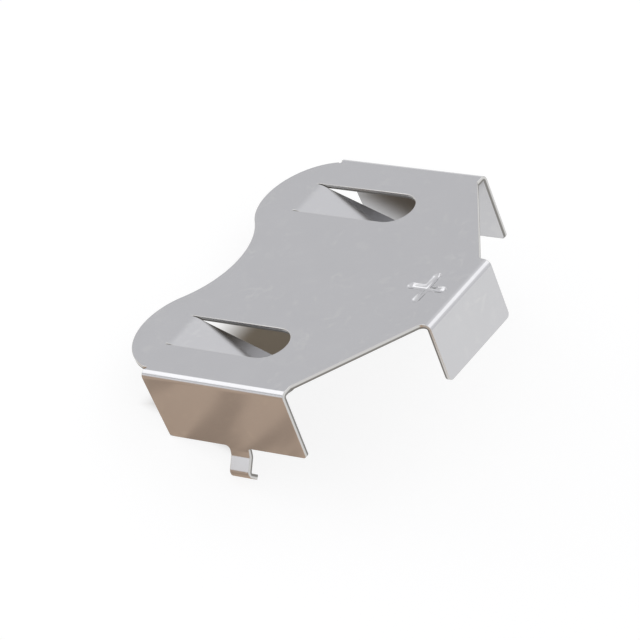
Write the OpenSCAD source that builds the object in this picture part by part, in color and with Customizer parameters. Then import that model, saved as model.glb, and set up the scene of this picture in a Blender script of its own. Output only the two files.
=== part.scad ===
// Coin cell holder of the one-piece retainer kind, for a 20 mm cell lying on a circuit board.
// One strip of spring metal is cut, pierced and folded. It has a flat plate over the cell, two
// side walls and a rear stop that hold the cell's rim, two lanced tongues that press on the
// cell's top, and a kinked leg under each side wall that snaps into a hole in the board.
//
// Millimetres. The origin is on the board, midway between the two legs and under the middle of
// the seated cell. +X runs toward the rear stop, so the cell goes in from -X. +Y is across the
// cell and +Z is away from the board.

/* [Cell and sheet] */
// Diameter of the coin cell
cell_d = 20; // [19.5:0.1:20.5]
// Play left across the cell between the side walls
cell_play = 0.4; // [0.2:0.05:0.6]
// Sheet thickness
sheet_t = 0.3; // [0.25:0.01:0.32]
// Inside radius of the square bends at the walls
bend_r = 0.1; // [0.08:0.01:0.2]

/* [Side walls] */
// Height of the plate's upper face above the board
body_h = 4.5; // [4.3:0.05:4.8]
// Length of each side wall
wall_len = 10.4; // [10:0.1:11]
// Reach of the side walls toward the cell's mouth, from the legs
wall_front = 5.4; // [5.2:0.1:5.8]
// Setback of each side wall's lower front corner
wall_rake = 0.35; // [0.2:0.05:0.6]
// Radius of the side walls' lower rear corners
wall_corner_r = 0.2; // [0.1:0.05:0.4]

/* [Rear stop] */
// Width of the rear stop
stop_w = 6.2; // [5.6:0.1:6.6]
// Gap between the rear stop and the board
stop_gap = 0.52; // [0.3:0.05:1]
// Radius of the rear stop's lower corners
stop_corner_r = 0.32; // [0.2:0.02:0.8]
// Slope of the two slanted rear edges away from the cell's path, in degrees
slant_a = 55; // [52:0.5:56]
// Fillet where each slanted edge runs into the rear stop's flank
stop_fillet_r = 0.4; // [0.3:0.05:0.6]
// Straight flank between that fillet and the rear bend
stop_flank = 0.1; // [0.05:0.01:0.2]

/* [Front lobes] */
// Radius of the two round front lobes
lobe_r = 3.9; // [3.7:0.05:3.95]
// Distance of each lobe's centre from the middle line
lobe_y = 6.2; // [6.15:0.05:6.3]
// Distance of the lobes' centres in front of the legs
lobe_x = 4.4; // [4.3:0.05:4.6]
// Radius of the hollow between the lobes, where a finger pushes the cell out
hollow_r = 5.7; // [5.2:0.1:6.2]
// Radius of the relief nicked in at the front end of each side bend
nick_r = 0.1; // [0.08:0.01:0.15]

/* [Spring tongues] */
// Distance of each tongue from the middle line
tongue_y = 6.45; // [6.3:0.05:6.6]
// Width of the window each tongue is cut from
window_w = 2.7; // [2.4:0.05:2.9]
// Distance behind the legs that the windows' round ends reach
window_end = 2.4; // [2:0.1:2.8]
// Distance in front of the legs at which the tongues start to bend
tongue_root = 5.5; // [5.3:0.05:5.7]
// Slope of the tongues under the plate, in degrees
tongue_slope = 22.5; // [20:0.5:24]
// Inside radius of the bend at the tongues' roots
tongue_bend_r = 0.9; // [0.6:0.1:1.2]
// Width of the cut between a tongue and its window
lance_gap = 0.06; // [0.04:0.01:0.1]

/* [Legs] */
// Width of each leg
leg_w = 1.4; // [1.2:0.05:1.6]
// Fillet on each side of a leg's root
leg_fillet_r = 0.25; // [0.15:0.05:0.25]
// Straight drop of a leg below the wall
leg_drop = 0.25; // [0.25:0.01:0.35]
// First outward turn of a leg, in degrees
leg_turn_1 = 12; // [8:1:14]
// Length of the short run after the first turn
leg_run_1 = 0.22; // [0.15:0.01:0.3]
// Second outward turn of a leg, in degrees
leg_turn_2 = 26; // [20:1:28]
// Length of the lead-out run down to the knee
leg_run_2 = 0.74; // [0.66:0.02:0.9]
// Inward turn at a leg's knee, in degrees
leg_turn_3 = 83; // [76:1:86]
// Length of the lead-in run below the knee
leg_run_3 = 0.52; // [0.45:0.01:0.65]
// Inside radius of the two outward turns
leg_bend_r = 0.28; // [0.2:0.02:0.4]

/* [Plus groove] */
// Length of each stroke of the pressed plus
plus_l = 2.7; // [2.4:0.1:3]
// Distance of the plus behind the legs
plus_x = 7.95; // [7.7:0.05:8.1]
// Radius of the rounded groove
plus_r = 0.35; // [0.25:0.05:0.4]
// Depth of the groove
plus_depth = 0.12; // [0.08:0.01:0.15]

/* [Hidden] */
$fn = 96;

bend_out = bend_r + sheet_t;                      // outside radius of the square bends
half_w = (cell_d + cell_play) / 2 + sheet_t;      // side walls' outer faces
flat_half = half_w - bend_out;                    // where the side bends start
wall_back = wall_len - wall_front;                // side walls' rear edges
stop_out = cell_d / 2 + sheet_t;                  // rear stop's outer face
stop_bend = stop_out - bend_out;                  // where the rear bend starts
stop_half = stop_w / 2;
bend_z = body_h - bend_out;                       // where the walls start below the bends

// arcs that blend into a neighbour cross it by this much, so the outline closes cleanly
blend = 0.002;

// each slanted edge would meet the rear stop's flank here, inside the fillet between them
fillet_x = stop_bend - stop_flank;
slant_x = fillet_x - stop_fillet_r * tan(slant_a / 2);
slant_y = min(flat_half, stop_half + (slant_x - wall_back) * tan(slant_a));

// the hollow's arc runs into both lobes without a corner
hollow_x = -lobe_x - sqrt(pow(lobe_r + hollow_r - blend, 2) - pow(lobe_y, 2));

// a tongue keeps the length it had in the flat sheet, less the cut round its tip
tongue_w = window_w - 2 * lance_gap;
tongue_arc = (tongue_bend_r + sheet_t / 2) * tongue_slope * PI / 180;
tongue_l = window_end + tongue_root - lance_gap - tongue_arc;

// runs of a leg's strip, each a straight length, then a turn (outward is plus) and its radius
LEG = [
    [leg_drop, leg_turn_1, leg_bend_r],
    [leg_run_1, leg_turn_2, leg_bend_r],
    [leg_run_2, -leg_turn_3, bend_r],
    [leg_run_3, 0, 0]
];

// half width and centre height of the groove's round tool
plus_half = sqrt(pow(plus_r, 2) - pow(plus_r - plus_depth, 2));
plus_z = body_h + plus_r - plus_depth;

retainer();

// ---- the folded strip

module retainer() {
    color([0.74, 0.74, 0.75])
    difference() {
        union() {
            plate();
            side();
            mirror([0, 1, 0]) side();
            rear_stop();
        }
        plus_stroke(0);
        plus_stroke(90);
    }
}

// flat plate with its lobes, slanted rear edges and two windows
module plate() {
    translate([0, 0, body_h - sheet_t])
    linear_extrude(sheet_t)
    difference() {
        plate_blank();
        window();
        mirror([0, 1]) window();
        for (s = [-1, 1])
            translate([-wall_front, s * (flat_half - nick_r)]) circle(nick_r);
    }
}

// everything folded down on the +Y side
module side() {
    side_bend();
    side_wall();
    leg();
    tongue();
}

// ---- outline of the plate

module plate_blank() {
    difference() {
        union() {
            polygon([
                [-wall_front, -flat_half], [wall_back, -flat_half], [wall_back, -slant_y],
                [slant_x, -stop_half], [stop_bend, -stop_half],
                [stop_bend, stop_half], [slant_x, stop_half],
                [wall_back, slant_y], [wall_back, flat_half], [-wall_front, flat_half]
            ]);
            fillet_fill();
            mirror([0, 1]) fillet_fill();
        }
        for (s = [-1, 1])
            translate([fillet_x, s * (stop_half + stop_fillet_r)])
                circle(stop_fillet_r + blend);
    }
    intersection() {
        front_lobes();
        translate([-lobe_x - lobe_r, -flat_half]) square([lobe_r + lobe_x, 2 * flat_half]);
    }
}

// two round lobes with the finger hollow between them
module front_lobes() {
    difference() {
        union() {
            for (s = [-1, 1]) translate([-lobe_x, s * lobe_y]) circle(lobe_r);
            polygon([[-lobe_x, -lobe_y], [hollow_x, 0], [-lobe_x, lobe_y]]);
        }
        translate([hollow_x, 0]) circle(hollow_r);
    }
}

// metal left in the inside corner between a slanted edge and the rear stop's flank
module fillet_fill() {
    polygon([
        [slant_x, stop_half], [fillet_x, stop_half],
        [fillet_x, stop_half + stop_fillet_r],
        [fillet_x - stop_fillet_r * sin(slant_a),
         stop_half + stop_fillet_r * (1 - cos(slant_a))]
    ]);
}

// long window with one round end, left open by the tongue
module window() {
    translate([-tongue_root, tongue_y - window_w / 2])
        square([window_end + tongue_root - window_w / 2, window_w]);
    translate([window_end - window_w / 2, tongue_y]) circle(window_w / 2);
}

// ---- side wall with its bend and leg

module side_bend() {
    translate([-wall_front, flat_half, bend_z])
    rotate([90, 0, 90])
    linear_extrude(wall_len) ring_part(bend_r, 0, 90);
}

module side_wall() {
    translate([0, half_w, 0])
    rotate([90, 0, 0])
    linear_extrude(sheet_t) {
        difference() {
            polygon([
                [-wall_front, bend_z], [wall_rake - wall_front, 0],
                [wall_back, 0], [wall_back, bend_z]
            ]);
            translate([wall_back, 0]) mirror([1, 0]) corner_cut(wall_corner_r);
        }
        // fillets at the leg's root
        translate([leg_w / 2, 0]) mirror([0, 1]) corner_cut(leg_fillet_r);
        translate([-leg_w / 2, 0]) rotate(180) corner_cut(leg_fillet_r);
    }
}

// leg splayed outward to a knee and turned back in, to snap into the board's hole
module leg() {
    translate([-leg_w / 2, half_w, 0])
    rotate([90, 0, 90])
    linear_extrude(leg_w) strip_run(LEG, 0);
}

// ---- rear stop with its bend

module rear_stop() {
    translate([stop_bend, stop_half, bend_z])
    rotate([90, 0, 0])
    linear_extrude(stop_w) ring_part(bend_r, 0, 90);

    translate([stop_out - sheet_t, 0, 0])
    rotate([90, 0, 90])
    linear_extrude(sheet_t)
    difference() {
        translate([-stop_half, stop_gap]) square([stop_w, bend_z - stop_gap]);
        translate([-stop_half, stop_gap]) corner_cut(stop_corner_r);
        translate([stop_half, stop_gap]) mirror([1, 0]) corner_cut(stop_corner_r);
    }
}

// ---- spring tongue, lanced from its window and bent down at the root

module tongue() {
    translate([-tongue_root, tongue_y, body_h - sheet_t - tongue_bend_r]) {
        translate([0, tongue_w / 2, 0])
        rotate([90, 0, 0])
        linear_extrude(tongue_w) ring_part(tongue_bend_r, 90 - tongue_slope, 90);

        rotate([0, tongue_slope, 0])
        translate([0, 0, tongue_bend_r])
        linear_extrude(sheet_t) {
            translate([0, -tongue_w / 2]) square([tongue_l - tongue_w / 2, tongue_w]);
            translate([tongue_l - tongue_w / 2, 0]) circle(tongue_w / 2);
        }
    }
}

// ---- plus mark, pressed in with a round-nosed tool

module plus_stroke(turn) {
    run = plus_l / 2 - plus_half;
    translate([plus_x, 0, plus_z])
    rotate([0, 0, turn]) {
        rotate([0, -90, 0]) cylinder(h = 2 * run, r = plus_r, center = true);
        for (s = [-1, 1]) translate([s * run, 0, 0]) rotate([90, 0, 0]) sphere(plus_r);
    }
}

// ---- shared shapes

// sector of a bent sheet's section between two directions, about its bend's centre
module ring_part(r_in, from, to) {
    r_out = r_in + sheet_t;
    intersection() {
        difference() {
            circle(r_out);
            circle(r_in);
        }
        polygon([
            [0, 0],
            [2 * r_out * cos(from), 2 * r_out * sin(from)],
            [2 * r_out * cos(to), 2 * r_out * sin(to)]
        ]);
    }
}

// what lies outside a rounded corner at the origin, in the first quarter
module corner_cut(r) {
    difference() {
        square(r);
        translate([r, r]) circle(r);
    }
}

// section of a strip that hangs from the origin with its outer face on x = 0
module strip_run(runs, i) {
    len_i = runs[i][0];
    turn = runs[i][1];
    r = runs[i][2];
    translate([-sheet_t, -len_i]) square([sheet_t, len_i]);
    if (turn > 0)
        translate([r, -len_i]) {
            ring_part(r, 180, 180 + turn);
            rotate(turn) translate([-r, 0]) strip_run(runs, i + 1);
        }
    if (turn < 0)
        translate([-sheet_t - r, -len_i]) {
            ring_part(r, turn, 0);
            rotate(turn) translate([sheet_t + r, 0]) strip_run(runs, i + 1);
        }
}
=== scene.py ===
"""Coin cell holder: one folded strip of nickel-plated spring metal, lying on a pale floor."""

import math

import bpy
import numpy as np
from mathutils import Matrix, Vector, geometry


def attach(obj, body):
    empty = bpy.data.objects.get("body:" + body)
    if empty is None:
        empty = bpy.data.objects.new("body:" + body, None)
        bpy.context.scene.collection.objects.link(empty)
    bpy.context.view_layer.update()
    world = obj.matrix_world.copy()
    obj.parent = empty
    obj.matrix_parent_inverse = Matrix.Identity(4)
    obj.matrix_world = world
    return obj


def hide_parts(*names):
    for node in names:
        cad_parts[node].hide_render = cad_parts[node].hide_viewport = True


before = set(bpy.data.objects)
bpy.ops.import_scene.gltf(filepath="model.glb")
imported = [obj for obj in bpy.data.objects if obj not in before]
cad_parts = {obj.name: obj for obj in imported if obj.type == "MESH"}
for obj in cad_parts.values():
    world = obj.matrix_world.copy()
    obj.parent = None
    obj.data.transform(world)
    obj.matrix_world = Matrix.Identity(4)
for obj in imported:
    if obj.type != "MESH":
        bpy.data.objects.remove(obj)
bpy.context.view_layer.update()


# ---- The strip, cut flat
# The real piece is one 0.3 mm spring strip, blanked in a press tool. Its outline holds the two
# round front lobes, the side walls with a leg each, the slanted rear edges and the rear stop.
# u runs along the finished X and v along Y. Sizes are in millimetres.

SHEET = 0.3
BODY_H = 4.5
BEND_R = 0.1
BEND_OUT = BEND_R + SHEET
BEND_LEN = math.pi / 2 * (BEND_R + SHEET / 2)
SIDE_BEND = 10.1
STOP_BEND = 9.9
WALL_DROP = BODY_H - BEND_OUT
WALL_FRONT, WALL_BACK, WALL_RAKE, WALL_CORNER = -5.4, 5.0, 0.35, 0.2
STOP_HALF, STOP_GAP, STOP_CORNER = 3.1, 0.52, 0.32
SLANT = math.radians(55)
SLANT_FILLET, FILLET_U = 0.4, 9.8
LOBE_R, LOBE_U, LOBE_V = 3.9, -4.4, 6.2
HOLLOW_R, NICK_R = 5.7, 0.1
LEG_HALF, LEG_FILLET = 0.7, 0.25
TONGUE_V, TONGUE_ROOT, TONGUE_SLOPE, TONGUE_R = 6.45, -5.5, 22.5, 0.9
WINDOW_HALF, WINDOW_END, LANCE = 1.35, 2.4, 0.06
CORNER = 0.06  # the small radius that a worn press tool leaves on a sharp corner

# each fold is a list of (straight run, turn in degrees, inside radius); outward turns are plus
SIDE_RUNS = [
    (0, -90, BEND_R),
    (WALL_DROP + 0.25, 12, 0.28),
    (0.22, 26, 0.28),
    (0.74, -83, BEND_R),
    (0.52, 0, 0),
]
STOP_RUNS = [(0, -90, BEND_R), (WALL_DROP - STOP_GAP, 0, 0)]
TONGUE_RUNS = [(0, -TONGUE_SLOPE, TONGUE_R), (20, 0, 0)]


def arc(cu, cv, r, start, end, step=5.0):
    """Points of an arc, ends included, with angles in degrees."""
    n = max(2, math.ceil(abs(end - start) / step))
    angles = np.radians(np.linspace(start, end, n + 1))
    return [(cu + r * math.cos(a), cv + r * math.sin(a)) for a in angles]


def runs_length(runs):
    """Flat length of a fold, along the middle of the sheet."""
    return sum(l + math.radians(abs(t)) * (r + SHEET / 2) for l, t, r in runs)


def soften(points):
    """Rounds each sharp corner of an outline by the press tool's small radius."""
    out = []
    for i, p in enumerate(points):
        a, p, b = (np.array(q, float) for q in (points[i - 1], p, points[(i + 1) % len(points)]))
        d1, d2 = p - a, b - p
        l1, l2 = np.linalg.norm(d1), np.linalg.norm(d2)
        d1, d2 = d1 / l1, d2 / l2
        turn = math.acos(max(-1, min(1, float(d1 @ d2))))
        if turn < math.radians(24) or min(l1, l2) < 0.15:
            out.append(tuple(p))
            continue
        reach = min(CORNER * math.tan(turn / 2), 0.3 * min(l1, l2))
        for k in range(5):
            t = k / 4
            start, end = p - d1 * reach, p + d2 * reach
            out.append(tuple((1 - t) ** 2 * start + 2 * t * (1 - t) * p + t * t * end))
    return out


WALL_END = SIDE_BEND + BEND_LEN + WALL_DROP
LEG_END = SIDE_BEND + runs_length(SIDE_RUNS)
STOP_END = STOP_BEND + runs_length(STOP_RUNS)
hollow_u = LOBE_U - math.sqrt((LOBE_R + HOLLOW_R) ** 2 - LOBE_V**2)
swing = math.degrees(math.atan2(LOBE_V, LOBE_U - hollow_u))
half = arc(hollow_u, 0, HOLLOW_R, 0, swing, 2)
half += arc(LOBE_U, LOBE_V, LOBE_R, 180 + swing, 106.15, 3)[1:]
half += arc(WALL_FRONT, SIDE_BEND - NICK_R, NICK_R, 211.9, 450, 20)[1:]
half += [
    (WALL_FRONT, SIDE_BEND + BEND_LEN),
    (WALL_FRONT + WALL_RAKE, WALL_END),
]
half += arc(-LEG_HALF - LEG_FILLET, WALL_END + LEG_FILLET, LEG_FILLET, -90, 0, 15)
half += [(-LEG_HALF, LEG_END), (LEG_HALF, LEG_END)]
half += arc(LEG_HALF + LEG_FILLET, WALL_END + LEG_FILLET, LEG_FILLET, 180, 270, 15)
half += arc(WALL_BACK - WALL_CORNER, WALL_END - WALL_CORNER, WALL_CORNER, 90, 0, 15)
slant_u = FILLET_U - SLANT_FILLET * math.sin(SLANT)
slant_v = STOP_HALF + SLANT_FILLET * (1 - math.cos(SLANT))
half += [(WALL_BACK, slant_v + (slant_u - WALL_BACK) * math.tan(SLANT))]
half += arc(FILLET_U, STOP_HALF + SLANT_FILLET, SLANT_FILLET, 215, 270, 8)
half += [(STOP_BEND, STOP_HALF)]
half += arc(STOP_END - STOP_CORNER, STOP_HALF - STOP_CORNER, STOP_CORNER, 90, 0, 12)
outline = soften(half + [(u, -v) for u, v in reversed(half[1:])])

# the cut round each tongue is a thin U, so the tongue stays joined at its root
tip_u = WINDOW_END - WINDOW_HALF
cut = [(TONGUE_ROOT, TONGUE_V - WINDOW_HALF)]
cut += arc(tip_u, TONGUE_V, WINDOW_HALF, -90, 90, 6)
cut += [(TONGUE_ROOT, TONGUE_V + WINDOW_HALF), (TONGUE_ROOT, TONGUE_V + WINDOW_HALF - LANCE)]
cut += arc(tip_u, TONGUE_V, WINDOW_HALF - LANCE, 90, -90, 6)
cut += [(TONGUE_ROOT, TONGUE_V - WINDOW_HALF + LANCE)]
cuts = [cut, [(u, -v) for u, v in reversed(cut)]]


# ---- The pressed plus
# A plain polarity mark beside the rear stop, pressed 0.12 mm deep with a round-nosed tool
# before the strip was folded. Its rim is slightly rounded by the pull of the metal.

PLUS_U, PLUS_RUN, PLUS_TOOL, PLUS_DEPTH, PLUS_RIM = 7.95, 1.086, 0.35, 0.12, 0.03
PLUS_LEVELS = (0.06, 0.12, 0.17, 0.21, 0.235, 0.25, 0.264, 0.28, 0.3)


def plus_loop(d):
    """Outline of the plus at a distance from its two strokes' middle lines."""
    loop = []
    for quarter in range(4):
        a = math.radians(90 * quarter)
        arm = [(d, -d)] + arc(PLUS_RUN, 0, d, -90, 90, 15)
        loop += [
            (PLUS_U + x * math.cos(a) - y * math.sin(a), x * math.sin(a) + y * math.cos(a)) for x, y in arm
        ]
    return loop


def plus_dip(u, v):
    """Depth of the plus at a point of the plate, and its slope."""
    best = (0.0, 0.0, 0.0)
    for x, y, swap in ((u - PLUS_U, v, False), (v, u - PLUS_U, True)):
        along = max(-PLUS_RUN, min(PLUS_RUN, x))
        dx, dy = x - along, y
        d = math.hypot(dx, dy)
        if d > 0.32:
            continue
        raw = math.sqrt(PLUS_TOOL**2 - d * d) - (PLUS_TOOL - PLUS_DEPTH)
        ease = max(PLUS_RIM - abs(raw), 0) / PLUS_RIM
        depth = max(raw, 0) + ease * ease * PLUS_RIM / 4
        slope = (1.0 if raw > 0 else 0.0) - 0.5 * ease * math.copysign(1, raw)
        grade = -slope * d / math.sqrt(PLUS_TOOL**2 - d * d)
        gx, gy = (grade * dx / d, grade * dy / d) if d > 1e-9 else (0.0, 0.0)
        if depth > best[0]:
            best = (depth, gy, gx) if swap else (depth, gx, gy)
    return best


# ---- Folding
# The press then folds the walls, the stop and the legs down and bends the tongues under the
# plate. fold_point takes a point of the flat sheet to its place on the finished piece.


def follow(runs, s):
    """Place, heading and up direction of the sheet's outer face after a length s of a fold."""
    p, heading, up = np.zeros(2), np.array([1.0, 0.0]), np.array([0.0, 1.0])
    for length, turn, r in runs:
        step = min(s, length)
        p, s = p + heading * step, s - step
        if s <= 0 or turn == 0:
            break
        arc_len = math.radians(abs(turn)) * (r + SHEET / 2)
        angle = math.radians(turn) * min(1, s / arc_len)
        centre = p + up * r if turn > 0 else p - up * (SHEET + r)
        c, k = math.cos(angle), math.sin(angle)
        spin = np.array([[c, -k], [k, c]])
        p, heading, up = centre + spin @ (p - centre), spin @ heading, spin @ up
        s -= arc_len
        if s <= 0:
            break
    return p, heading, up


def fold_point(u, v, on_tongue=False):
    """Outer-face point and the three directions (u, v, outward) of the finished sheet."""
    side = 1.0 if v > 0 else -1.0
    if abs(v) > SIDE_BEND:
        p, h, up = follow(SIDE_RUNS, abs(v) - SIDE_BEND)
        point = (u, side * (SIDE_BEND + p[0]), BODY_H + p[1])
        return point, (1, 0, 0), (0, h[0], side * h[1]), (0, side * up[0], up[1])
    if u > STOP_BEND:
        p, h, up = follow(STOP_RUNS, u - STOP_BEND)
        return (STOP_BEND + p[0], v, BODY_H + p[1]), (h[0], 0, h[1]), (0, 1, 0), (up[0], 0, up[1])
    if on_tongue and u > TONGUE_ROOT:
        p, h, up = follow(TONGUE_RUNS, u - TONGUE_ROOT)
        return (TONGUE_ROOT + p[0], v, BODY_H + p[1]), (h[0], 0, h[1]), (0, 1, 0), (up[0], 0, up[1])
    return (u, v, BODY_H), (1, 0, 0), (0, 1, 0), (0, 0, 1)


# the sheared edge from top to bottom: how far it stands in, how deep it is, and its tilt.
# The punch rolls the top rim over, then cuts clean, then tears the last part of the metal.
EDGE = [
    (0.04, 0.0, 0),
    (0.0198, 0.0042, 30),
    (0.0054, 0.0202, 60),
    (0.0, 0.04, 90),
    (0.0, 0.15, 90),
    (0.005, 0.165, 95),
    (0.009, 0.27, 95),
    (0.018, 0.292, 135),
    (0.04, 0.3, 180),
]
INSET = EDGE[0][0]


def inset(loop):
    """Loop moved into the metal, which lies on its right, by the edge's inset."""
    pts = np.array(loop)
    d1 = pts - np.roll(pts, 1, 0)
    d2 = np.roll(pts, -1, 0) - pts
    d1 /= np.linalg.norm(d1, axis=1)[:, None]
    d2 /= np.linalg.norm(d2, axis=1)[:, None]
    n1 = np.stack([-d1[:, 1], d1[:, 0]], 1)
    n2 = np.stack([-d2[:, 1], d2[:, 0]], 1)
    return pts - INSET * (n1 + n2) / (1 + (n1 * n2).sum(1))[:, None]


def inside(poly, p):
    """Which of the points p lie inside a polygon."""
    x, y, hit = p[:, 0], p[:, 1], np.zeros(len(p), bool)
    for (x1, y1), (x2, y2) in zip(poly, np.roll(poly, -1, 0)):
        if y1 != y2:
            hit ^= ((y1 > y) != (y2 > y)) & (x < (x2 - x1) * (y - y1) / (y2 - y1) + x1)
    return hit


def bend_rows(runs, start, steps):
    """Places across a fold where the mesh needs a row of points."""
    rows, s = [], start
    for length, turn, r in runs:
        s += length
        if turn:
            n = max(2, round(abs(turn) / steps))
            arc_len = math.radians(abs(turn)) * (r + SHEET / 2)
            rows += list(s + arc_len * np.linspace(0, 1, n + 1))
            s += arc_len
    return rows


loops = [inset(outline), inset(cuts[0]), inset(cuts[1])]
points, edges = [], []


def add_loop(loop, closed=True):
    first = len(points)
    points.extend(Vector((float(u), float(v))) for u, v in loop)
    n = len(loop)
    edges.extend((first + i, first + (i + 1) % n) for i in range(n if closed else n - 1))


for loop in loops:
    add_loop(loop)
for v in bend_rows(SIDE_RUNS, SIDE_BEND, 7):
    reach = (-6.2, 5.6) if v < WALL_END + LEG_FILLET else (-LEG_HALF - 0.2, LEG_HALF + 0.2)
    for s in (1, -1):
        add_loop([(reach[0], s * v), (reach[1], s * v)], False)
for u in bend_rows(STOP_RUNS, STOP_BEND, 7):
    add_loop([(u, -STOP_HALF - 0.3), (u, STOP_HALF + 0.3)], False)
for u in bend_rows(TONGUE_RUNS, TONGUE_ROOT, 2.5):
    reach = WINDOW_HALF - LANCE / 2
    for s in (1, -1):
        add_loop([(u, s * TONGUE_V - reach), (u, s * TONGUE_V + reach)], False)
for d in PLUS_LEVELS:
    add_loop(plus_loop(d))
add_loop([(PLUS_U - PLUS_RUN, 0), (PLUS_U, 0), (PLUS_U + PLUS_RUN, 0)], False)
add_loop([(PLUS_U, -PLUS_RUN), (PLUS_U, 0), (PLUS_U, PLUS_RUN)], False)

flat, _, tris, *_ = geometry.delaunay_2d_cdt(points, edges, [], 0, 1e-6, False)
flat = np.array([tuple(p) for p in flat])
tris = np.array([t for t in tris if len(t) == 3])
mid = flat[tris].mean(1)
tris = tris[inside(loops[0], mid) & ~inside(loops[1], mid) & ~inside(loops[2], mid)]
keep = np.unique(tris)
renumber = -np.ones(len(flat), int)
renumber[keep] = np.arange(len(keep))
flat, tris = flat[keep], renumber[tris]

# the rim: edges that only one triangle uses, each with the metal on its left
used = {}
for t in tris:
    for a, b in ((t[0], t[1]), (t[1], t[2]), (t[2], t[0])):
        used[(int(a), int(b))] = True
following = {a: b for a, b in used if (b, a) not in used}
leading = {b: a for a, b in following.items()}


def off_rim(i):
    """Direction out of the metal at a rim point, long enough to keep the edge parallel."""
    d1, d2 = flat[i] - flat[leading[i]], flat[following[i]] - flat[i]
    d1, d2 = d1 / np.linalg.norm(d1), d2 / np.linalg.norm(d2)
    n1, n2 = np.array([d1[1], -d1[0]]), np.array([d2[1], -d2[0]])
    return (n1 + n2) / (1 + n1 @ n2)


def on_tongue(u, v):
    """True on the tongue's side of the thin cut."""
    across = abs(abs(v) - TONGUE_V)
    return u > TONGUE_ROOT and math.hypot(max(0, u - tip_u), across) < WINDOW_HALF - LANCE / 2


verts, normals, blank = [], [], []


def put(u, v, depth, tilt, out, tongue):
    """Adds one point of the folded sheet, with its surface direction and its place in the blank."""
    point, du, dv, up = (np.array(x, float) for x in fold_point(u, v, tongue))
    normal = up * math.cos(tilt)
    if out is not None:
        way = du * out[0] + dv * out[1]
        normal = normal + way / np.linalg.norm(way) * math.sin(tilt)
    verts.append(point - up * depth)
    normals.append(normal)
    blank.append((u, v, depth))
    return len(verts) - 1


top, bottom = [], []
for u, v in flat:
    tongue = on_tongue(u, v)
    dip, gu, gv = plus_dip(u, v) if math.hypot(u - PLUS_U, v) < 2 else (0.0, 0.0, 0.0)
    top.append(put(u, v, dip, 0.0, None, tongue))
    if dip:
        slope = np.array([gu, gv, 1.0])
        normals[-1] = slope / np.linalg.norm(slope)
    bottom.append(put(u, v, SHEET, math.pi, None, tongue))
rim = {}
for i in following:
    u, v = flat[i]
    out, tongue = off_rim(i), on_tongue(u, v)
    ring = [top[i]]
    for stand_in, depth, tilt in EDGE[1:-1]:
        shift = out * (INSET - stand_in)
        ring.append(put(u + shift[0], v + shift[1], depth, math.radians(tilt), out, tongue))
    rim[i] = ring + [bottom[i]]

faces = [(top[a], top[b], top[c]) for a, b, c in tris]
faces += [(bottom[a], bottom[c], bottom[b]) for a, b, c in tris]
skin_faces = len(faces)
for a, b in following.items():
    for k in range(len(EDGE) - 1):
        faces.append((rim[a][k], rim[a][k + 1], rim[b][k + 1], rim[b][k]))

mesh = bpy.data.meshes.new("spring_strip")
mesh.from_pydata([tuple(p) for p in verts], [], faces)
mesh.transform(Matrix.Scale(0.001, 4))
mesh.polygons.foreach_set("use_smooth", [True] * len(faces))
mesh.polygons.foreach_set("material_index", [0] * skin_faces + [1] * (len(faces) - skin_faces))
flat_place = mesh.attributes.new("blank_mm", "FLOAT_VECTOR", "POINT")
flat_place.data.foreach_set("vector", np.array(blank, np.float32).ravel())
mesh.update()
mesh.normals_split_custom_set_from_vertices([tuple(n / np.linalg.norm(n)) for n in normals])
strip = bpy.data.objects.new("folded_strip", mesh)
bpy.context.scene.collection.objects.link(strip)


# ---- The strip's finish
# Cold-rolled spring steel under bright nickel. It is half a mirror, with the fine lines that
# the rolls leave, a faint unevenness of the plating and a few light rub marks from handling.


def linear(code):
    """Turns an sRGB hex colour to a linear one."""
    parts = [int(code[i : i + 2], 16) / 255 for i in (1, 3, 5)]
    return [c / 12.92 if c <= 0.04045 else ((c + 0.055) / 1.055) ** 2.4 for c in parts] + [1.0]


def node(tree, kind, settings=None, inputs=None):
    """Adds a node with its settings, its socket values and its links."""
    made = tree.nodes.new(kind)
    for name, value in (settings or {}).items():
        setattr(made, name, value)
    for name, value in (inputs or {}).items():
        if hasattr(value, "links"):
            tree.links.new(value, made.inputs[name])
        else:
            made.inputs[name].default_value = value
    return made


def new_material(name):
    """An empty material and its output node."""
    material = bpy.data.materials.new(name)
    material.use_nodes = True
    material.node_tree.nodes.clear()
    return material, material.node_tree, material.node_tree.nodes.new("ShaderNodeOutputMaterial")


NICKEL, NICKEL_RUBBED = "#CACACC", "#CECECF"
ROLL_LINE = 0.035  # mm between roll lines, several times coarser than real ones so that they show
MOTTLE = 2.4  # mm across a patch of the plating's unevenness
RUB = 0.9  # mm across a rub mark

nickel, tree, out = new_material("bright_nickel_on_rolled_spring_steel")
place = node(tree, "ShaderNodeAttribute", {"attribute_name": "blank_mm"}).outputs["Vector"]
stretched = node(
    tree, "ShaderNodeMapping", inputs={"Vector": place, "Scale": (1 / ROLL_LINE, 0.12, 0.0)}
).outputs["Vector"]
lines = node(
    tree, "ShaderNodeTexNoise", inputs={"Vector": stretched, "Scale": 1.0, "Detail": 3.0, "Roughness": 0.6}
).outputs["Fac"]
patches = node(
    tree, "ShaderNodeTexNoise", inputs={"Vector": place, "Scale": 1 / MOTTLE, "Detail": 2.0, "Roughness": 0.5}
).outputs["Fac"]
rubs = node(
    tree, "ShaderNodeTexNoise", inputs={"Vector": place, "Scale": 1 / RUB, "Detail": 4.0, "Distortion": 1.2}
).outputs["Fac"]
rub_mask = node(
    tree,
    "ShaderNodeMapRange",
    inputs={"Value": rubs, "From Min": 0.56, "From Max": 0.72, "To Min": 0.0, "To Max": 1.0},
).outputs["Result"]
tone = node(
    tree,
    "ShaderNodeMix",
    {"data_type": "RGBA"},
    {0: rub_mask, 6: linear(NICKEL), 7: linear(NICKEL_RUBBED)},
).outputs[2]
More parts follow.
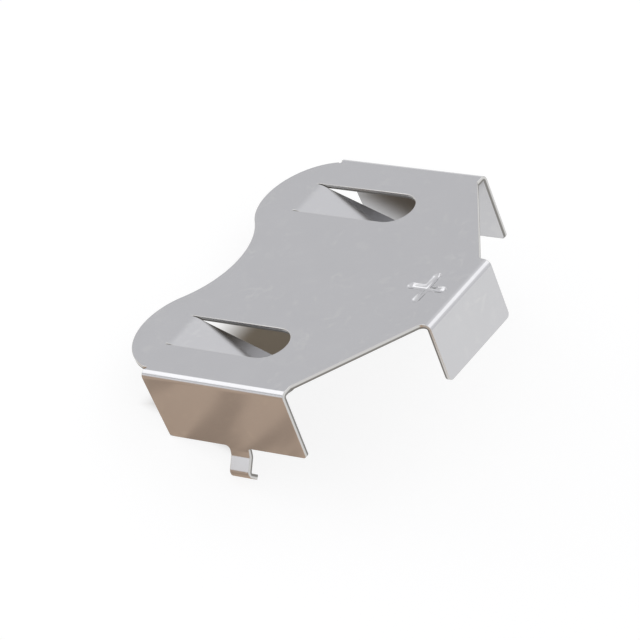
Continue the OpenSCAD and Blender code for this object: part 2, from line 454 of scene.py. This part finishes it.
gloss_patch = node(
    tree,
    "ShaderNodeMapRange",
    inputs={"Value": patches, "From Min": 0.3, "From Max": 0.7, "To Min": 0.15, "To Max": 0.21},
).outputs["Result"]
gloss = node(
    tree,
    "ShaderNodeMath",
    {"operation": "MULTIPLY_ADD"},
    {0: rub_mask, 1: 0.008, 2: gloss_patch},
).outputs[0]
grain = node(
    tree,
    "ShaderNodeBump",
    inputs={"Strength": 0.12, "Distance": 0.000004, "Height": lines},
).outputs["Normal"]
waves = node(
    tree,
    "ShaderNodeBump",
    inputs={"Strength": 0.08, "Distance": 0.00005, "Height": patches, "Normal": grain},
).outputs["Normal"]
metal = node(
    tree,
    "ShaderNodeBsdfPrincipled",
    inputs={"Base Color": tone, "Metallic": 1.0, "Roughness": gloss, "Normal": waves},
)
tree.links.new(metal.outputs[0], out.inputs["Surface"])

# Steel bared where the punch cut the strip: a bright burnished band under the rolled-over rim,
# then a duller torn band with fine vertical tears. It reads as a thin light and dark line.
STEEL_CUT, STEEL_TORN = "#CFCECC", "#8F8D89"
TEAR = 0.05  # mm between tears along the edge

cut_steel, tree, out = new_material("sheared_spring_steel_edge")
place = node(tree, "ShaderNodeAttribute", {"attribute_name": "blank_mm"}).outputs["Vector"]
depth = node(tree, "ShaderNodeSeparateXYZ", inputs={"Vector": place}).outputs["Z"]
torn = node(
    tree,
    "ShaderNodeMapRange",
    inputs={"Value": depth, "From Min": 0.13, "From Max": 0.18, "To Min": 0.0, "To Max": 1.0},
).outputs["Result"]
across = node(
    tree, "ShaderNodeMapping", inputs={"Vector": place, "Scale": (1 / TEAR, 1 / TEAR, 3.0)}
).outputs["Vector"]
tears = node(
    tree, "ShaderNodeTexNoise", inputs={"Vector": across, "Scale": 1.0, "Detail": 3.0, "Roughness": 0.6}
).outputs["Fac"]
tone = node(
    tree, "ShaderNodeMix", {"data_type": "RGBA"}, {0: torn, 6: linear(STEEL_CUT), 7: linear(STEEL_TORN)}
).outputs[2]
gloss = node(
    tree,
    "ShaderNodeMapRange",
    inputs={"Value": torn, "From Min": 0.0, "From Max": 1.0, "To Min": 0.22, "To Max": 0.5},
).outputs["Result"]
rough = node(
    tree, "ShaderNodeBump", inputs={"Strength": 0.3, "Distance": 0.00001, "Height": tears}
).outputs["Normal"]
metal = node(
    tree,
    "ShaderNodeBsdfPrincipled",
    inputs={"Base Color": tone, "Metallic": 1.0, "Roughness": gloss, "Normal": rough},
)
tree.links.new(metal.outputs[0], out.inputs["Surface"])

mesh.materials.append(nickel)
mesh.materials.append(cut_steel)
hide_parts("retainer")
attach(strip, "root")


# ---- Floor
# A pale matt board, tilted in the piece's own frame because the loose piece rests on its leg tips
# and the lower front corners of its walls. It shows from above only. Its white is a lift that
# leaves out the ground under the front of the piece, so that its shade stays there.

FLOOR_UP = Vector((0.437, 0, 0.8995)).normalized()
FLOOR_REACH, FLOOR_GAP = 1.5, 0.00002
# under the front of the piece the board takes a warmer brown-grey: a painted warm tint of the shade there
FLOOR_COLOUR, GROUND_PAINTED_WARM_SHADE = "#959595", "#A39786"
FLOOR_LIFT = 0.81
# LIFT_BEHIND spreads the glowing lift under the rear of the piece too: painted light over the shade there
LIFT_BESIDE, LIFT_BEFORE, LIFT_BEHIND = (0.0078, 0.0098), (0.0055, 0.0078), (-0.0032, -0.0016)
low = min(v.co.dot(FLOOR_UP) for v in mesh.vertices)

floor_mesh = bpy.data.meshes.new("floor")
corners = [(FLOOR_REACH * a, FLOOR_REACH * b, 0) for a, b in ((-1, -1), (1, -1), (1, 1), (-1, 1))]
floor_mesh.from_pydata(corners, [], [(0, 1, 2, 3)])
floor = bpy.data.objects.new("floor", floor_mesh)
bpy.context.scene.collection.objects.link(floor)
floor_turn = FLOOR_UP.to_track_quat("Z", "Y").to_matrix().to_4x4()
floor.matrix_world = Matrix.Translation(FLOOR_UP * (low - FLOOR_GAP)) @ floor_turn

matt, tree, out = new_material("matt_white_board")
ground = node(tree, "ShaderNodeNewGeometry")
place = node(tree, "ShaderNodeSeparateXYZ", inputs={"Vector": ground.outputs["Position"]})
aside = node(tree, "ShaderNodeMath", {"operation": "ABSOLUTE"}, {0: place.outputs["Y"]}).outputs[0]
ahead = node(tree, "ShaderNodeMath", {"operation": "MULTIPLY"}, {0: place.outputs["X"], 1: -1.0}).outputs[0]
lifted_ground = 0.0
for distance, (start, end) in (
    (aside, LIFT_BESIDE),
    (ahead, LIFT_BEFORE),
    (place.outputs["X"], LIFT_BEHIND),
):
    step = node(
        tree,
        "ShaderNodeMapRange",
        {"interpolation_type": "SMOOTHSTEP"},
        {"Value": distance, "From Min": start, "From Max": end, "To Min": 0.0, "To Max": 1.0},
    ).outputs["Result"]
    lifted_ground = node(tree, "ShaderNodeMath", {"operation": "MAXIMUM"}, {0: step, 1: lifted_ground}).outputs[0]
ray = node(tree, "ShaderNodeLightPath")
seen = ray.outputs["Is Camera Ray"]
for ray_kind in ("Is Glossy Ray", "Is Transmission Ray"):
    other = ray.outputs[ray_kind]
    seen = node(tree, "ShaderNodeMath", {"operation": "MAXIMUM"}, {0: seen, 1: other}).outputs[0]
lift = node(tree, "ShaderNodeMath", {"operation": "MULTIPLY"}, {0: seen, 1: lifted_ground}).outputs[0]
lift = node(tree, "ShaderNodeMath", {"operation": "MULTIPLY"}, {0: lift, 1: FLOOR_LIFT}).outputs[0]
# grey where the lift falls, and the painted warm shade tint under the front of the piece
board_tone_with_painted_shade = node(
    tree,
    "ShaderNodeMix",
    {"data_type": "RGBA"},
    {0: lifted_ground, 6: linear(GROUND_PAINTED_WARM_SHADE), 7: linear(FLOOR_COLOUR)},
).outputs[2]
board = node(tree, "ShaderNodeBsdfDiffuse", inputs={"Color": board_tone_with_painted_shade}).outputs[0]
glow = node(tree, "ShaderNodeEmission", inputs={"Color": (1, 1, 1, 1), "Strength": lift}).outputs[0]
lit = node(tree, "ShaderNodeAddShader", inputs={0: board, 1: glow}).outputs[0]
clear = node(tree, "ShaderNodeBsdfTransparent").outputs[0]
shown = node(
    tree, "ShaderNodeMixShader", inputs={0: ground.outputs["Backfacing"], 1: lit, 2: clear}
).outputs[0]
tree.links.new(shown, out.inputs["Surface"])
floor_mesh.materials.append(matt)


# ---- Light
# A pale room that the metal mirrors, with three long soft lamps above the piece. A warm card low
# in front glows though it is no lamp and gives the near wall a painted brown reflection with painted shadow
# streaks.

ROOM_DIM, ROOM_BRIGHT, ROOM_FILL = 0.78, 1.0, 0.6
ROOM_COLOUR = "#FDFDFF"
BRIGHT_SIDE = Vector((0.62, 0.22, 0.75)).normalized()

world = bpy.data.worlds.new("pale_room")
bpy.context.scene.world = world
world.use_nodes = True
tree = world.node_tree
tree.nodes.clear()
way = node(tree, "ShaderNodeTexCoord").outputs["Generated"]
toward_lamp = node(
    tree, "ShaderNodeVectorMath", {"operation": "DOT_PRODUCT"}, {0: way, 1: tuple(BRIGHT_SIDE)}
).outputs["Value"]
level = node(
    tree,
    "ShaderNodeMapRange",
    {"interpolation_type": "SMOOTHSTEP"},
    {"Value": toward_lamp, "From Min": 0.0, "From Max": 0.9, "To Min": ROOM_DIM, "To Max": ROOM_BRIGHT},
).outputs["Result"]
ray = node(tree, "ShaderNodeLightPath")
seen = ray.outputs["Is Camera Ray"]
for ray_kind in ("Is Glossy Ray", "Is Transmission Ray"):
    other = ray.outputs[ray_kind]
    seen = node(tree, "ShaderNodeMath", {"operation": "MAXIMUM"}, {0: seen, 1: other}).outputs[0]
level = node(tree, "ShaderNodeMix", {"data_type": "FLOAT"}, {0: seen, 2: ROOM_FILL, 3: level}).outputs[0]
room = node(tree, "ShaderNodeBackground", inputs={"Color": linear(ROOM_COLOUR), "Strength": level}).outputs[0]
tree.links.new(room, node(tree, "ShaderNodeOutputWorld").inputs["Surface"])


LAMP_AWAY = 0.9


def lamp(name, towards, along, length, width, radiance):
    """A long soft lamp in a direction from the piece, with the brightness that its face shows."""
    data = bpy.data.lights.new(name, "AREA")
    data.shape, data.size, data.size_y = "RECTANGLE", length, width
    data.energy = radiance * math.pi * length * width
    made = bpy.data.objects.new(name, data)
    back = Vector(towards).normalized()
    first = (Vector(along) - back * back.dot(Vector(along))).normalized()
    facing = Matrix((first, back.cross(first), back)).transposed().to_4x4()
    made.matrix_world = Matrix.Translation(back * LAMP_AWAY) @ facing
    bpy.context.scene.collection.objects.link(made)


lamp("rear_soft_lamp", (0.5, 0.58, 0.62), (1, 0, 0), 0.72, 0.4, 0.52)
lamp("left_soft_lamp", (-0.63, -0.02, 0.77), (0, 1, 0), 0.85, 0.3, 0.9)
lamp("front_soft_lamp", (-0.63, -0.67, 0.39), (1, 0, 0), 0.3, 0.12, 0.4)

# the card lies just over the floor, beside the near wall, and only the metal's mirror sees it: a glowing
# painted reflection
CARD_COLOUR, CARD_HALF, CARD_OVER = "#B29E8C", 0.03, 0.00003
CARD_ASIDE, CARD_FORWARD = 0.04055, 0.012
SHADOW_STREAK = 0.0022

floor_u = Vector((FLOOR_UP.z, 0, -FLOOR_UP.x))
centre = FLOOR_UP * (low + CARD_OVER) - Vector((0, CARD_ASIDE, 0)) - floor_u * CARD_FORWARD
across, up = floor_u * CARD_HALF, Vector((0, CARD_HALF, 0))
card_mesh = bpy.data.meshes.new("glowing_card_painted_reflection")
corners = [centre - across - up, centre + across - up, centre + across + up, centre - across + up]
card_mesh.from_pydata(corners, [], [(0, 1, 2, 3)])
card = bpy.data.objects.new("glowing_card_painted_reflection", card_mesh)
bpy.context.scene.collection.objects.link(card)

paint, tree, out = new_material("glowing_card_painted_reflection")
matt_face = node(tree, "ShaderNodeBsdfDiffuse", inputs={"Color": linear(CARD_COLOUR)}).outputs[0]
place = node(tree, "ShaderNodeNewGeometry").outputs["Position"]
turned = node(
    tree,
    "ShaderNodeMapping",
    inputs={"Vector": place, "Rotation": (0, 0, math.radians(35)), "Scale": (1 / SHADOW_STREAK, 0.25 / SHADOW_STREAK, 0)},
).outputs["Vector"]
# darker streaks in the card's glow are painted shadows, which the near wall mirrors as dark streaks
painted_shadow_streaks = node(
    tree, "ShaderNodeTexNoise", inputs={"Vector": turned, "Scale": 1.0, "Detail": 2.0, "Distortion": 0.6}
).outputs["Fac"]
shade = node(
    tree,
    "ShaderNodeMapRange",
    {"interpolation_type": "SMOOTHSTEP"},
    {"Value": painted_shadow_streaks, "From Min": 0.36, "From Max": 0.5, "To Min": 0.42, "To Max": 0.8},
).outputs["Result"]
glow = node(tree, "ShaderNodeEmission", inputs={"Color": linear(CARD_COLOUR), "Strength": shade}).outputs[0]
both = node(tree, "ShaderNodeAddShader", inputs={0: matt_face, 1: glow}).outputs[0]
tree.links.new(both, out.inputs["Surface"])
card_mesh.materials.append(paint)
card.visible_camera = card.visible_shadow = card.visible_diffuse = False


# ---- Camera
# A long lens a quarter of a metre away, above the rear stop's near side and looking down.

camera_data = bpy.data.cameras.new("camera")
camera_data.lens, camera_data.sensor_width = 270.13, 36.0
camera_data.clip_start, camera_data.clip_end = 0.01, 10.0
camera = bpy.data.objects.new("camera", camera_data)
bpy.context.scene.collection.objects.link(camera)
aim = Vector((-0.62508466, 0.57650121, -0.52622763))
head = Vector((-0.11371756, 0.59971638, 0.79209127))
side = aim.cross(head)
turn = Matrix((side, head, -aim)).transposed().to_4x4()
camera.matrix_world = Matrix.Translation((0.17137, -0.159167, 0.146196)) @ turn
bpy.context.scene.camera = camera
bpy.context.scene.view_settings.view_transform = "Standard"
